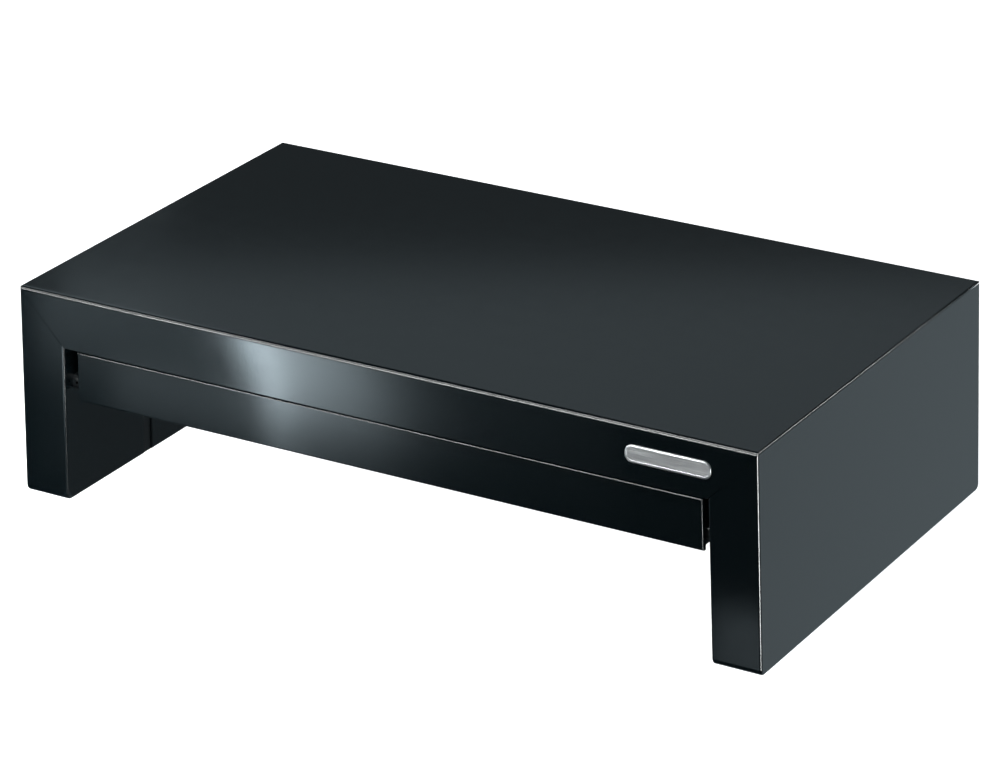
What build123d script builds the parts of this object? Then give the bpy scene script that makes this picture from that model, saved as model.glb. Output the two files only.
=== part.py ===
from build123d import *
import os

# Monitor riser stand: a hollow moulded deck on two leg casings, a foot that slides out
# of each leg to raise the stand, and a shallow drawer that runs on rails between the legs.
# Units are millimetres. +X is the right-hand side, -Y the front and +Z up. The origin is
# on the floor, under the middle of the stand.

# ---------------------------------------------------------------- driving dimensions
# Stand
WIDTH_TOP = 406.4           # across the deck, 16 in
DEPTH = 234.0               # front face to back face
BODY_HEIGHT = 111.1         # casing bottom to deck top, 4 3/8 in
PAD_PROUD = 0.8             # how far the rubber pads lift the casings off the floor
LEG_SPLAY = 3.5             # each leg leans out by this much from top to bottom
LEG_THICK = 25.8            # outer face to inner face of a leg
FASCIA_HEIGHT = 28.0        # deck fascia, front and back
RAISE = 41.3                # travel of the feet: 4 3/8 in becomes 6 in

# Walls
DECK_SKIN = 3.0
OUTER_WALL = 2.8            # outer, front and back walls of a leg casing
INNER_WALL = 2.4
WEB_THICK = 2.5             # floor of the leg casing's top pocket, screwed to the deck
RIB = 1.8

# Lattice, end walls and bosses under the deck
DECK_RIB_Y = (-76.0, -38.0, 0.0, 38.0, 76.0)
DECK_RIB_X = (-150.0, -100.0, -50.0, 0.0, 50.0, 100.0, 150.0)
DECK_RIB_REACH = (177.0, 115.0)     # half length of the ribs along X and along Y
DECK_RIB_DROP = 12.0        # ribs reach this far below the top
END_WALL_X = (175.8, 178.0)
DECK_BOSS_RADIUS = 4.0
GUSSET_LIFT = 11.0          # gussets start this far above the fascia's lower edge

# Edges
DECK_EDGE = 1.9             # front and back top edges
SIDE_EDGE = 0.75            # side top edges, above the mitre seam
SEAM_DROP = 1.0             # the mitre seam meets the side face this far below the top
SEAM_HALF = 0.17            # half of the mitre seam's gap
LEG_OUTER_EDGE = 1.3
LEG_INNER_EDGE = 1.2
LEG_HEEL = 3.5              # rounding of the legs' bottom corners, seen from the side

# Foot and its guides
FOOT_GAP = 0.35             # foot to casing, all round
FOOT_WALL = 2.2
FOOT_BASE = 2.6
FOOT_STEP_Z = 54.4          # above this the foot is narrower, to pass the rail bosses
FOOT_TOP_GAP = 0.4          # foot's upper rim to the casing's web
FOOT_WEB_Y = 60.0           # cross walls inside the foot, besides the middle one
SLOT_Y = 48.0               # guide slots in the inner wall, front and back
SLOT_WIDTH = 7.6
SLOT_TOP_Z = 45.8
TONGUE_SIDE_GAP = 0.35
TONGUE_RECESS = 1.0         # tongue face below the inner wall's face
HOOK_Y = 75.0               # stop hooks on the foot's outer side
HOOK_WIDTH = 8.4
HOOK_DEPTH = 0.85           # how far a hook reaches into the casing wall
HOOK_STOP_Z = 22.0          # lower end of the hook's groove
HOOK_HEIGHT = 14.0
HOOK_END_GAP = 0.3          # play between hook and groove at full height
HOOK_FACE_GAP = 0.25        # play between hook and groove floor

# Pads
PAD_SIZE = (24.0, 12.0)     # along Y, along X
PAD_THICK = 1.6
PAD_CORNER = 3.0
PAD_EDGE = 0.4
PAD_SLACK = 0.1             # pad to pocket, all round
PAD_Y = 92.0

# Rails
RAIL_Z = (59.2, 67.3)
RAIL_FRONT_Y = -110.3
RAIL_BACK_Y = 107.0
RAIL_INNER_X = 166.8
RAIL_WALL = 1.9
RAIL_NOSE = 3.0
RAIL_END_WALLS = (6.0, 4.0) # solid lengths at the rail's front and back ends
RAIL_SCREW_Y = (-90.0, 0.0, 90.0)
RAIL_SCREW_LAND = 5.0       # solid length each side of a rail screw
RAIL_BOSS_RADIUS = 3.5
RAIL_BOSS_DEPTH = 3.0       # boss behind the leg's inner wall
RAIL_NOSE_PIT = (0.8, 3.5)  # moulding pit in the nose: radius and depth
STOP_PROUD = 1.4            # stop nubs on the rail and on the tray
STOP_INSET = 0.8            # nubs are this much lower than the rail, above and below
STOP_LENGTH = 3.5
STOP_PLAY = 0.3

# Drawer
DRAWER_TRAVEL = 150.0
DRAWER_SETBACK = 4.0        # drawer front behind the fascia's face
DRAWER_TOP_GAP = 2.7        # under the fascia
DRAWER_SIDE_GAP = 5.0       # to each leg's inner wall
DRAWER_FRONT_HEIGHT = 26.1
DRAWER_FRONT_THICK = 2.5
TRAY_BACK_Y = 104.0
TRAY_SIDE_X = 165.0         # outer face of the tray's side walls
TRAY_WALL = 2.2
TRAY_RIM_Z = 78.0
TRAY_FLANGE_X = 173.3
TRAY_FLANGE_THICK = 2.0
TRAY_FRONT_INSET = 0.6      # floor and flanges start this far behind the drawer front
TRAY_CORNER = 3.0
TRAY_INNER_CORNER = 1.8
TRAY_RIM_EDGE = 0.5
TRAY_STOP_LENGTH = 3.0
TRAY_SKID_X = (-140.0, -70.0, 0.0, 70.0, 140.0)
TRAY_SKID_HEIGHT = 1.0
RAIL_CLEARANCE = 0.38       # tray channel above and below the rail
DIVIDER_X = 138.0           # pen bin at the right of the paper bin
DIVIDER_TOP_Z = 74.0
PEN_BIN_SPLIT_Y = 40.0
DIVIDER_THICK = 1.6
FRONT_EDGE = 0.9            # rounding of the drawer front's outer edges
FRONT_BOSS_RADIUS = 3.0

# Badge: a plain blank bar
BADGE_CENTRE = (158.0, 97.8)
BADGE_SIZE = (44.0, 8.6)
BADGE_PROUD = 0.8
BADGE_EDGE = 0.35
BADGE_PIN_SPREAD = 15.0
BADGE_PIN_RADIUS = 1.0
BADGE_PIN_HEAD = (1.7, 0.9) # radius and height of a pin's melted head behind the fascia

# Screws: head radius, head height, shank radius
LEG_SCREW = (3.2, 2.0, 1.7)
LEG_SCREW_LENGTH = 12.0
RAIL_SCREW = (2.7, 1.8, 1.45)
FRONT_SCREW = (3.4, 1.6, 1.3)
SCREW_SLIP = 0.06           # radial clearance of a shank in its boss
HOLE_SLIP = 0.25            # radial clearance of a shank in a passing hole
LEG_SCREW_Y = (-90.0, -30.0, 30.0, 90.0)
FRONT_SCREW_X = (-150.0, -50.0, 50.0, 150.0)

# ---------------------------------------------------------------- derived places
Z_BOTTOM = PAD_PROUD
Z_TOP = PAD_PROUD + BODY_HEIGHT
Z_FASCIA = Z_TOP - FASCIA_HEIGHT
Z_SEAM = Z_TOP - SEAM_DROP
Z_CEILING = Z_TOP - DECK_SKIN
Z_WEB = Z_FASCIA - WEB_THICK
HALF_DEPTH = DEPTH / 2
FRONT_Y = -HALF_DEPTH
RAIL_MID_Z = (RAIL_Z[0] + RAIL_Z[1]) / 2
DRAWER_TOP_Z = Z_FASCIA - DRAWER_TOP_GAP
DRAWER_BOTTOM_Z = DRAWER_TOP_Z - DRAWER_FRONT_HEIGHT
DRAWER_FACE_Y = FRONT_Y + DRAWER_SETBACK
TRAY_FRONT_Y = DRAWER_FACE_Y + DRAWER_FRONT_THICK
TRAY_FLOOR_TOP_Z = RAIL_Z[0] - RAIL_CLEARANCE
TRAY_FLOOR_Z = TRAY_FLOOR_TOP_Z - TRAY_WALL
TRAY_RUN_Y = (TRAY_FRONT_Y + TRAY_FRONT_INSET, TRAY_BACK_Y)
TRAY_STOP_Y = (TRAY_BACK_Y - TRAY_STOP_LENGTH, TRAY_BACK_Y)
STOP_Z = (RAIL_Z[0] + STOP_INSET, RAIL_Z[1] - STOP_INSET)
FRONT_SCREW_Z = (DRAWER_BOTTOM_Z + DRAWER_TOP_Z) / 2


def outer_x(z):
    """Outer face of the right leg at height z: it leans outwards towards the floor."""
    return WIDTH_TOP / 2 + LEG_SPLAY * (Z_TOP - z) / BODY_HEIGHT


def inner_x(z):
    """Inner face of the right leg at height z."""
    return outer_x(z) - LEG_THICK


BOSS_X = (inner_x(Z_FASCIA) + outer_x(Z_FASCIA)) / 2
PAD_X = (inner_x(0) + outer_x(0)) / 2
DRAWER_END_X = inner_x(RAIL_MID_Z) - DRAWER_SIDE_GAP


# ---------------------------------------------------------------- helpers
def block(x, y, z):
    """Box between the low and high value of each axis."""
    size = (x[1] - x[0], y[1] - y[0], z[1] - z[0])
    centre = ((x[0] + x[1]) / 2, (y[0] + y[1]) / 2, (z[0] + z[1]) / 2)
    return Pos(*centre) * Box(*size)


def prism(points, y):
    """Outline in X and Z, drawn out along Y."""
    outline = Plane.XZ.offset(-y[0]) * make_face(Polyline(*points, close=True))
    return extrude(outline, amount=y[0] - y[1])


def leaning_slab(inner_offset, outer_offset, z, y):
    """Slab between two lines that lie at fixed offsets from the leg's inner and outer faces."""
    points = [
        (inner_x(z[0]) + inner_offset, z[0]),
        (outer_x(z[0]) - outer_offset, z[0]),
        (outer_x(z[1]) - outer_offset, z[1]),
        (inner_x(z[1]) + inner_offset, z[1]),
    ]
    return prism(points, y)


def band(offset, depth, z, y):
    """Thin band that follows the leg's inner face: from offset inwards, depth thick."""
    points = [
        (inner_x(z[0]) + offset, z[0]),
        (inner_x(z[0]) + offset + depth, z[0]),
        (inner_x(z[1]) + offset + depth, z[1]),
        (inner_x(z[1]) + offset, z[1]),
    ]
    return prism(points, y)


def rod_x(radius, x, y, z):
    """Round bar along X from x[0] to x[1]."""
    return Pos((x[0] + x[1]) / 2, y, z) * Rot(0, 90, 0) * Cylinder(radius, x[1] - x[0])


def rod_y(radius, y, x, z):
    """Round bar along Y from y[0] to y[1]."""
    return Pos(x, (y[0] + y[1]) / 2, z) * Rot(90, 0, 0) * Cylinder(radius, y[1] - y[0])


def rod_z(radius, z, x, y):
    """Round bar along Z from z[0] to z[1]."""
    return Pos(x, y, (z[0] + z[1]) / 2) * Cylinder(radius, z[1] - z[0])


def edges_at(shape, axis, **place):
    """Edges parallel to an axis whose middle lies at the given coordinates."""
    found = shape.edges().filter_by(axis)
    for name, value in place.items():
        found = found.filter_by(lambda e, n=name, v=value: abs(getattr(e.center(), n) - v) < 0.2)
    return found


# ---------------------------------------------------------------- deck
def deck_outline():
    """Front view of the deck: flat top, and ends that slant in along the mitre seams."""
    right = [
        (outer_x(Z_TOP), Z_TOP),
        (outer_x(Z_SEAM + SEAM_HALF), Z_SEAM + SEAM_HALF),
        (inner_x(Z_FASCIA) - SEAM_HALF, Z_FASCIA),
    ]
    return right + [(-x, z) for x, z in reversed(right)]


def deck_ribs():
    """Lattice under the top skin, kept above the drawer."""
    rib_z = (Z_TOP - DECK_RIB_DROP, Z_CEILING)
    reach_x, reach_y = DECK_RIB_REACH
    ribs = []
    for y in DECK_RIB_Y:
        ribs.append(block((-reach_x, reach_x), (y - RIB / 2, y + RIB / 2), rib_z))
    for x in DECK_RIB_X:
        ribs.append(block((x - RIB / 2, x + RIB / 2), (-reach_y, reach_y), rib_z))
    return ribs


def deck_end(side):
    """End wall, screw bosses and their gussets at one end. side is +1 or -1."""
    wall_x = sorted(side * x for x in END_WALL_X)
    gusset_x = sorted((side * (END_WALL_X[1] - 0.5), side * BOSS_X))
    gusset_z = (Z_FASCIA + GUSSET_LIFT, Z_CEILING)
    reach_y = DECK_RIB_REACH[1]
    pieces = [block(wall_x, (-reach_y, reach_y), (Z_FASCIA, Z_CEILING))]
    for y in LEG_SCREW_Y:
        pieces.append(rod_z(DECK_BOSS_RADIUS, (Z_FASCIA, Z_CEILING), side * BOSS_X, y))
        pieces.append(block(gusset_x, (y - RIB / 2, y + RIB / 2), gusset_z))
    return pieces


def deck_shell():
    """Solid deck: front, side and plan prisms, each with its own rounded edges, intersected."""
    front = prism(deck_outline(), (-HALF_DEPTH, HALF_DEPTH))
    tops = edges_at(front, Axis.Y, Z=Z_TOP)
    front = fillet(tops, SIDE_EDGE)
    side = block((-WIDTH_TOP, WIDTH_TOP), (-HALF_DEPTH, HALF_DEPTH), (0.0, Z_TOP))
    side = fillet(edges_at(side, Axis.X, Z=Z_TOP), DECK_EDGE)
    half_width = outer_x(Z_SEAM)
    plan = block((-half_width, half_width), (-HALF_DEPTH, HALF_DEPTH), (0.0, Z_TOP + 1.0))
    plan = fillet(plan.edges().filter_by(Axis.Z), LEG_OUTER_EDGE)
    return front & side & plan


def make_deck():
    shell = deck_shell()
    inside_y = HALF_DEPTH - DECK_SKIN
    hollow_x = (-WIDTH_TOP, WIDTH_TOP)
    deck = shell - block(hollow_x, (-inside_y, inside_y), (Z_FASCIA - 5.0, Z_CEILING))
    for piece in deck_ribs() + deck_end(1) + deck_end(-1):
        deck += piece
    core = LEG_SCREW[2] + SCREW_SLIP
    for side in (1, -1):
        for y in LEG_SCREW_Y:
            deck -= rod_z(core, (Z_FASCIA - 1.0, Z_FASCIA + LEG_SCREW_LENGTH), side * BOSS_X, y)
    x, z = BADGE_CENTRE
    for spread in (-BADGE_PIN_SPREAD, BADGE_PIN_SPREAD):
        hole = BADGE_PIN_RADIUS + 0.05
        deck -= rod_y(hole, (FRONT_Y - 1.0, FRONT_Y + DECK_SKIN + 1.0), x + spread, z)
    return deck


# ---------------------------------------------------------------- leg casing
def casing_outside():
    """Right leg casing, solid: straight walls, slanted top along the mitre seam."""
    points = [
        (inner_x(Z_BOTTOM), Z_BOTTOM),
        (outer_x(Z_BOTTOM), Z_BOTTOM),
        (outer_x(Z_SEAM - SEAM_HALF), Z_SEAM - SEAM_HALF),
        (inner_x(Z_FASCIA) + SEAM_HALF, Z_FASCIA),
        (inner_x(Z_FASCIA - SEAM_HALF), Z_FASCIA - SEAM_HALF),
    ]
    leg = prism(points, (-HALF_DEPTH, HALF_DEPTH))
    heels = edges_at(leg, Axis.X, Y=FRONT_Y, Z=Z_BOTTOM)
    heels += edges_at(leg, Axis.X, Y=HALF_DEPTH, Z=Z_BOTTOM)
    leg = fillet(heels, LEG_HEEL)
    outer_face = leg.faces().sort_by(Axis.X)[-1]
    rim = [e for e in outer_face.edges() if e.center().Z < Z_SEAM - 1.0]
    leg = fillet(rim, LEG_OUTER_EDGE)
    inner_face = leg.faces().filter_by(lambda f: f.normal_at().X < -0.9).sort_by(Axis.X)[0]
    rim = [e for e in inner_face.edges() if e.center().Z < Z_FASCIA - 1.0]
    return fillet(rim, LEG_INNER_EDGE)


def guide_slots():
    """Slots in the inner wall, open at the floor and round at the top, for the foot's tongues."""
    half = SLOT_WIDTH / 2
    top = SLOT_TOP_Z - half
    round_x = (inner_x(top) - 1.0, inner_x(top) + INNER_WALL + 0.5)
    slots = []
    for y in (-SLOT_Y, SLOT_Y):
        slots.append(band(-1.0, INNER_WALL + 1.2, (-5.0, top), (y - half, y + half)))
        slots.append(rod_x(half, round_x, y, top))
    return slots


def hook_grooves():
    """Grooves inside the outer wall that stop the foot's hooks at full height."""
    half = HOOK_WIDTH / 2 + FOOT_GAP
    reach = OUTER_WALL - HOOK_DEPTH - HOOK_FACE_GAP
    grooves = []
    for y in (-HOOK_Y, HOOK_Y):
        run = (y - half, y + half)
        grooves.append(leaning_slab(LEG_THICK / 2, reach, (HOOK_STOP_Z, Z_WEB), run))
    return grooves


def make_leg_casing():
    inside_y = (-HALF_DEPTH + OUTER_WALL, HALF_DEPTH - OUTER_WALL)
    leg = casing_outside()
    leg -= leaning_slab(INNER_WALL, OUTER_WALL, (-5.0, Z_WEB), inside_y)
    leg -= leaning_slab(-15.0, OUTER_WALL, (Z_FASCIA, Z_TOP + 5.0), inside_y)
    for cut in guide_slots() + hook_grooves():
        leg -= cut
    for y in LEG_SCREW_Y:
        leg -= rod_z(LEG_SCREW[2] + HOLE_SLIP, (Z_WEB - 1.0, Z_FASCIA + 1.0), BOSS_X, y)
    wall_x = inner_x(RAIL_MID_Z)
    back_x = wall_x + INNER_WALL
    core = RAIL_SCREW[2] + SCREW_SLIP
    for y in RAIL_SCREW_Y:
        leg += rod_x(RAIL_BOSS_RADIUS, (back_x - 0.4, back_x + RAIL_BOSS_DEPTH), y, RAIL_MID_Z)
        leg -= rod_x(core, (wall_x - 1.0, back_x + RAIL_BOSS_DEPTH - 0.6), y, RAIL_MID_Z)
    return leg


# ---------------------------------------------------------------- sliding foot
def foot_bays(y_in):
    """The foot's four hollow bays, from its cross walls' places."""
    middle = RIB / 2
    right = [(middle, FOOT_WEB_Y - middle), (FOOT_WEB_Y + middle, y_in)]
    return right + [(-far, -near) for near, far in right]


def foot_tongues():
    """Tongues that slide in the casing's slots, round at the top."""
    half = SLOT_WIDTH / 2 - TONGUE_SIDE_GAP
    depth = INNER_WALL + FOOT_GAP - TONGUE_RECESS + 0.5
    low = SLOT_TOP_Z - SLOT_WIDTH / 2
    face_x = inner_x(low) + TONGUE_RECESS
    tongues = []
    for y in (-SLOT_Y, SLOT_Y):
        tongues.append(band(TONGUE_RECESS, depth, (Z_BOTTOM, low), (y - half, y + half)))
        tongues.append(rod_x(half, (face_x, face_x + depth), y, low))
    return tongues


def foot_hooks(outer):
    """Hooks on the outer side that catch in the casing's grooves at full height."""
    half = HOOK_WIDTH / 2
    low = HOOK_STOP_Z + RAISE + HOOK_END_GAP
    hook_z = (low, low + HOOK_HEIGHT)
    reach = OUTER_WALL - HOOK_DEPTH
    hooks = []
    for y in (-HOOK_Y, HOOK_Y):
        hooks.append(leaning_slab(LEG_THICK - outer - 0.5, reach, hook_z, (y - half, y + half)))
    return hooks


def make_foot():
    y_out = HALF_DEPTH - OUTER_WALL - FOOT_GAP
    inner = INNER_WALL + FOOT_GAP
    narrow = INNER_WALL + RAIL_BOSS_DEPTH + 0.5
    outer = OUTER_WALL + FOOT_GAP
    top = Z_WEB - FOOT_TOP_GAP
    foot = leaning_slab(inner, outer, (Z_BOTTOM, FOOT_STEP_Z), (-y_out, y_out))
    foot += leaning_slab(narrow, outer, (FOOT_STEP_Z, top), (-y_out, y_out))
    low_z = (Z_BOTTOM + FOOT_BASE, FOOT_STEP_Z - FOOT_WALL)
    high_z = (FOOT_STEP_Z - FOOT_WALL - 1.0, top + 5.0)
    for bay in foot_bays(y_out - FOOT_WALL):
        foot -= leaning_slab(inner + FOOT_WALL, outer + FOOT_WALL, low_z, bay)
        foot -= leaning_slab(narrow + FOOT_WALL, outer + FOOT_WALL, high_z, bay)
    for piece in foot_tongues() + foot_hooks(outer):
        foot += piece
    for y in (-PAD_Y, PAD_Y):
        foot -= pad_shape(y, PAD_SLACK)
    return foot


# ---------------------------------------------------------------- rubber pads
def pad_shape(y, slack):
    """Rounded rectangular pad under the right foot, or its pocket when slack is more than 0."""
    along_y, along_x = PAD_SIZE
    outline = RectangleRounded(along_x + 2 * slack, along_y + 2 * slack, PAD_CORNER)
    return Pos(PAD_X, y, 0) * extrude(outline, amount=PAD_THICK)


def make_pad(y):
    pad = pad_shape(y, 0)
    rim = pad.faces().sort_by(Axis.Z)[0].edges()
    return chamfer(rim, PAD_EDGE)


# ---------------------------------------------------------------- rail
def rail_hollows():
    """Start and end of each hollow length between the rail's ends and its screws."""
    marks = [RAIL_FRONT_Y + RAIL_END_WALLS[0]]
    for y in RAIL_SCREW_Y:
        marks += [y - RAIL_SCREW_LAND, y + RAIL_SCREW_LAND]
    marks.append(RAIL_BACK_Y - RAIL_END_WALLS[1])
    return zip(marks[0::2], marks[1::2])


def make_rail():
    """Right runner: a hollow bar on the leg's inner wall, with a rounded nose."""
    low, high = RAIL_Z
    points = [
        (RAIL_INNER_X, low),
        (inner_x(low), low),
        (inner_x(high), high),
        (RAIL_INNER_X, high),
    ]
    rail = prism(points, (RAIL_FRONT_Y, RAIL_BACK_Y))
    nose = edges_at(rail, Axis.X, Y=RAIL_FRONT_Y)
    rail = fillet(nose, RAIL_NOSE)
    back_x = inner_x(low) + 1.0
    for run in rail_hollows():
        rail -= block((RAIL_INNER_X + RAIL_WALL, back_x), run, (low + RAIL_WALL, high - RAIL_WALL))
    pocket_x = (RAIL_INNER_X - 1.0, RAIL_INNER_X + RAIL_SCREW[1] + 0.5)
    for y in RAIL_SCREW_Y:
        rail -= rod_x(RAIL_SCREW[0] + HOLE_SLIP, pocket_x, y, RAIL_MID_Z)
        rail -= rod_x(RAIL_SCREW[2] + HOLE_SLIP, (RAIL_INNER_X, back_x), y, RAIL_MID_Z)
    pit_radius, pit_depth = RAIL_NOSE_PIT
    pit_x = (inner_x(RAIL_MID_Z) + DRAWER_END_X) / 2
    rail -= rod_y(pit_radius, (RAIL_FRONT_Y - 1.0, RAIL_FRONT_Y + pit_depth), pit_x, RAIL_MID_Z)
    nub_x = (RAIL_INNER_X - STOP_PROUD, RAIL_INNER_X + 0.5)
    front_y = TRAY_STOP_Y[0] - DRAWER_TRAVEL - STOP_PLAY
    rail += block(nub_x, (front_y - STOP_LENGTH, front_y), STOP_Z)
    rail += block(nub_x, (TRAY_BACK_Y + STOP_PLAY, RAIL_BACK_Y), STOP_Z)
    return rail


# ---------------------------------------------------------------- drawer
def tray_side(side):
    """Flange over the rail and the stop nub, on one side of the tray."""
    flange_low = RAIL_Z[1] + RAIL_CLEARANCE
    flange_x = sorted((side * (TRAY_SIDE_X - TRAY_WALL), side * TRAY_FLANGE_X))
    flange = block(flange_x, TRAY_RUN_Y, (flange_low, flange_low + TRAY_FLANGE_THICK))
    nub_x = sorted((side * (TRAY_SIDE_X - 0.5), side * (TRAY_SIDE_X + STOP_PROUD)))
    return [flange, block(nub_x, TRAY_STOP_Y, STOP_Z)]


def tray_box():
    """Open box with rounded corners, inside and out."""
    side = TRAY_SIDE_X
    tray = block((-side, side), (TRAY_FRONT_Y, TRAY_BACK_Y), (TRAY_FLOOR_Z, TRAY_RIM_Z))
    tray = fillet(edges_at(tray, Axis.Z, Y=TRAY_BACK_Y), TRAY_CORNER)
    inside = block(
        (-side + TRAY_WALL, side - TRAY_WALL),
        (TRAY_FRONT_Y + TRAY_WALL, TRAY_BACK_Y - TRAY_WALL),
        (TRAY_FLOOR_TOP_Z, TRAY_RIM_Z + 5.0),
    )
    floor_edges = inside.faces().sort_by(Axis.Z)[0].edges()
    inside = fillet(floor_edges + inside.edges().filter_by(Axis.Z), TRAY_INNER_CORNER)
    tray -= inside
    rim = tray.faces().sort_by(Axis.Z)[-1].edges()
    return fillet(rim, TRAY_RIM_EDGE)


def tray_dividers():
    """Wall of the pen bin, and the cross wall that splits the bin in two."""
    half = DIVIDER_THICK / 2
    divider_z = (TRAY_FLOOR_TOP_Z - 0.5, DIVIDER_TOP_Z)
    long_y = (TRAY_FRONT_Y + 1.0, TRAY_BACK_Y - 1.0)
    split_y = (PEN_BIN_SPLIT_Y - half, PEN_BIN_SPLIT_Y + half)
    long_wall = block((DIVIDER_X - half, DIVIDER_X + half), long_y, divider_z)
    return [long_wall, block((DIVIDER_X, TRAY_SIDE_X - 1.0), split_y, divider_z)]


def make_tray():
    floor_x = (-TRAY_FLANGE_X, TRAY_FLANGE_X)
    tray = tray_box()
    tray += block(floor_x, TRAY_RUN_Y, (TRAY_FLOOR_Z, TRAY_FLOOR_TOP_Z))
    for piece in tray_side(1) + tray_side(-1) + tray_dividers():
        tray += piece
    skid_y = (TRAY_FRONT_Y + 5.0, TRAY_BACK_Y - 5.0)
    skid_z = (TRAY_FLOOR_Z - TRAY_SKID_HEIGHT, TRAY_FLOOR_Z)
    for x in TRAY_SKID_X:
        tray += block((x - DIVIDER_THICK / 2, x + DIVIDER_THICK / 2), skid_y, skid_z)
    boss_y = (TRAY_FRONT_Y - 1.0, TRAY_FRONT_Y + TRAY_WALL + 0.5)
    for x in FRONT_SCREW_X:
        tray -= rod_y(FRONT_BOSS_RADIUS + 0.1, boss_y, x, FRONT_SCREW_Z)
    return tray


def make_drawer_front():
    low, high = DRAWER_BOTTOM_Z, DRAWER_TOP_Z
    right = [
        (inner_x(low) - DRAWER_SIDE_GAP, low),
        (inner_x(high) - DRAWER_SIDE_GAP, high),
    ]
    points = right + [(-x, z) for x, z in reversed(right)]
    panel = prism(points, (DRAWER_FACE_Y, TRAY_FRONT_Y))
    rim = panel.faces().sort_by(Axis.Y)[0].edges()
    panel = fillet(rim, FRONT_EDGE)
    boss_y = (TRAY_FRONT_Y - 0.3, TRAY_FRONT_Y + TRAY_WALL)
    core_y = (DRAWER_FACE_Y + 1.0, TRAY_FRONT_Y + TRAY_WALL + 1.0)
    for x in FRONT_SCREW_X:
        panel += rod_y(FRONT_BOSS_RADIUS, boss_y, x, FRONT_SCREW_Z)
        panel -= rod_y(FRONT_SCREW[2] + SCREW_SLIP, core_y, x, FRONT_SCREW_Z)
    return panel


# ---------------------------------------------------------------- badge
def make_badge():
    """Blank bar with rounded ends, held by two pins through the fascia."""
    x, z = BADGE_CENTRE
    width, height = BADGE_SIZE
    rounded = RectangleRounded(width, height, height * 0.42)
    outline = Plane.XZ.offset(-FRONT_Y) * Pos(x, z) * rounded
    bar = extrude(outline, amount=BADGE_PROUD)
    rim = bar.faces().sort_by(Axis.Y)[0].edges()
    bar = fillet(rim, BADGE_EDGE)
    head_radius, head_height = BADGE_PIN_HEAD
    back = FRONT_Y + DECK_SKIN
    for spread in (-BADGE_PIN_SPREAD, BADGE_PIN_SPREAD):
        bar += rod_y(BADGE_PIN_RADIUS, (FRONT_Y - 0.3, back + head_height), x + spread, z)
        bar += rod_y(head_radius, (back, back + head_height), x + spread, z)
    return bar


# ---------------------------------------------------------------- screws
def screw(head_radius, head_height, shank_radius, length):
    """Pan-head screw along +Z, its head's seat at z = 0, with a cross recess in the head."""
    head = Pos(0, 0, -head_height / 2) * Cylinder(head_radius, head_height)
    head = fillet(head.edges().sort_by(Axis.Z)[0], head_height * 0.45)
    shank = Pos(0, 0, length / 2) * Cylinder(shank_radius, length)
    shank = chamfer(shank.edges().sort_by(Axis.Z)[-1], shank_radius * 0.4)
    recess_size = (head_radius * 1.1, head_radius * 0.28, head_height)
    recess = Box(*recess_size) + Rot(0, 0, 90) * Box(*recess_size)
    return head + shank - Pos(0, 0, -head_height) * recess


def group(pieces):
    return Compound(children=pieces)


def leg_screws():
    """Up through the casing's web into the deck's bosses."""
    one = screw(*LEG_SCREW, LEG_SCREW_LENGTH)
    return [Pos(BOSS_X, y, Z_WEB) * one for y in LEG_SCREW_Y]


def rail_screws():
    """Outwards through the rail into the bosses on the leg's inner wall."""
    seat = RAIL_INNER_X + RAIL_SCREW[1] + 0.5
    tip = inner_x(RAIL_MID_Z) + INNER_WALL + 2.0
    one = screw(*RAIL_SCREW, tip - seat)
    return [Pos(seat, y, RAIL_MID_Z) * Rot(0, 90, 0) * one for y in RAIL_SCREW_Y]


def front_screws():
    """Forwards through the tray's front wall into the drawer front's bosses."""
    seat = TRAY_FRONT_Y + TRAY_WALL
    one = screw(*FRONT_SCREW, seat - DRAWER_FACE_Y - 1.3)
    return [Pos(x, seat, FRONT_SCREW_Z) * Rot(90, 0, 0) * one for x in FRONT_SCREW_X]


# ---------------------------------------------------------------- assembly
def make_parts():
    parts = {
        "top_deck": make_deck(),
        "drawer_tray": make_tray(),
        "drawer_front": make_drawer_front(),
        "drawer_front_screws": group(front_screws()),
        "badge": make_badge(),
    }
    paired = {
        "leg_casing": make_leg_casing(),
        "foot": make_foot(),
        "front_pad": make_pad(-PAD_Y),
        "rear_pad": make_pad(PAD_Y),
        "rail": make_rail(),
        "leg_screws": group(leg_screws()),
        "rail_screws": group(rail_screws()),
    }
    for name, shape in paired.items():
        parts[f"right_{name}"] = shape
        parts[f"left_{name}"] = mirror(shape, Plane.YZ)
    return parts


os.makedirs("parts", exist_ok=True)
for node, shape in make_parts().items():
    export_step(shape, f"parts/{node}.step")
    print(node, "volume", round(shape.volume), "mm3")
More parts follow.
